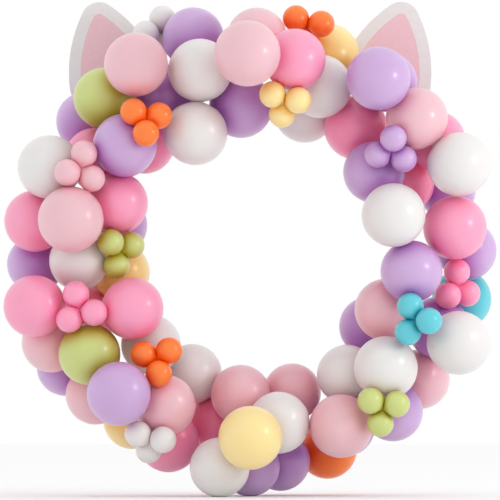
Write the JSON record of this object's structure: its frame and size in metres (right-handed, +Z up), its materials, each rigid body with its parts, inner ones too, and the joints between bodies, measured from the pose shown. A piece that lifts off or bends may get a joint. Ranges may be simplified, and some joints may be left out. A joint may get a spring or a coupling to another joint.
{
  "type": "balloon garland ring",
  "caption": "Closed ring of pastel latex balloons, large ones and small ones tied in threes, with two rounded cut card ears at the top.",
  "frame": {"origin": "top of the ring's core circle, where the garland is hung; the middle of the ring is 0.78 m below it", "axes": "+X to the right as seen from the front, -Y to the front, +Z up"},
  "size_m": [2.161, 1.1063, 2.1674],
  "materials": {
    "latex_white": "soft satin latex, slightly translucent",
    "latex_light_pink": "soft satin latex, slightly translucent",
    "latex_pink": "soft satin latex, slightly translucent",
    "latex_rose": "soft satin latex, slightly translucent",
    "latex_lilac": "soft satin latex, slightly translucent",
    "latex_lime": "soft satin latex, slightly translucent",
    "latex_orange": "soft satin latex, slightly translucent",
    "latex_yellow": "soft satin latex, slightly translucent",
    "latex_turquoise": "soft satin latex, slightly translucent",
    "ear_card": "matt white card, its middle printed pale pink"
  },
  "bodies": {
    "root": {"white_pair_1": "latex_white", "lilac_pair_1": "latex_lilac", "pink_pair_1": "latex_pink", "light_pink_and_white_pair_1": "latex_light_pink", "white_and_lilac_pair_1": "latex_white", "pink_and_lilac_pair_1": "latex_pink", "lilac_and_light_pink_pair_1": "latex_lilac", "lilac_and_turquoise_pair_1": "latex_lilac", "white_pair_2": "latex_white", "lilac_and_light_pink_pair_2": "latex_lilac", "light_pink_and_lilac_pair_1": "latex_light_pink", "lilac_and_orange_pair_1": "latex_lilac", "yellow_and_white_pair_1": "latex_yellow", "light_pink_pair_1": "latex_light_pink", "white_and_lilac_pair_2": "latex_white", "pink_pair_2": "latex_pink", "lilac_and_light_pink_pair_3": "latex_lilac", "white_pair_3": "latex_white", "light_pink_and_lilac_pair_2": "latex_light_pink", "lime_and_light_pink_pair_1": "latex_lime", "pink_and_white_pair_1": "latex_pink", "white_and_yellow_pair_1": "latex_white", "pink_and_lilac_pair_2": "latex_pink", "light_pink_and_pink_pair_1": "latex_light_pink", "pink_pair_3": "latex_pink", "light_pink_and_lime_pair_1": "latex_light_pink", "lilac_pair_2": "latex_lilac", "white_pair_4": "latex_white", "light_pink_and_pink_pair_2": "latex_light_pink", "light_pink_balloon_1": "latex_light_pink", "yellow_balloon_1": "latex_yellow", "rose_balloon_1": "latex_rose", "lilac_balloon_1": "latex_lilac", "lilac_balloon_2": "latex_lilac", "white_balloon_1": "latex_white", "yellow_balloon_2": "latex_yellow", "pink_balloon_1": "latex_pink", "pink_balloon_2": "latex_pink", "lilac_balloon_3": "latex_lilac", "white_balloon_2": "latex_white", "lilac_balloon_4": "latex_lilac", "lilac_balloon_5": "latex_lilac", "lilac_balloon_6": "latex_lilac", "orange_trio_1": "latex_orange", "yellow_trio_1": "latex_yellow", "lilac_trio_1": "latex_lilac", "pink_trio_1": "latex_pink", "turquoise_trio_1": "latex_turquoise", "lime_trio_1": "latex_lime", "white_trio_1": "latex_white", "orange_trio_2": "latex_orange", "pink_trio_2": "latex_pink", "lime_trio_2": "latex_lime", "light_pink_trio_1": "latex_light_pink", "orange_trio_3": "latex_orange", "white_trio_2": "latex_white", "left_ear": "ear_card", "right_ear": "ear_card"}
  },
  "joints": []
}
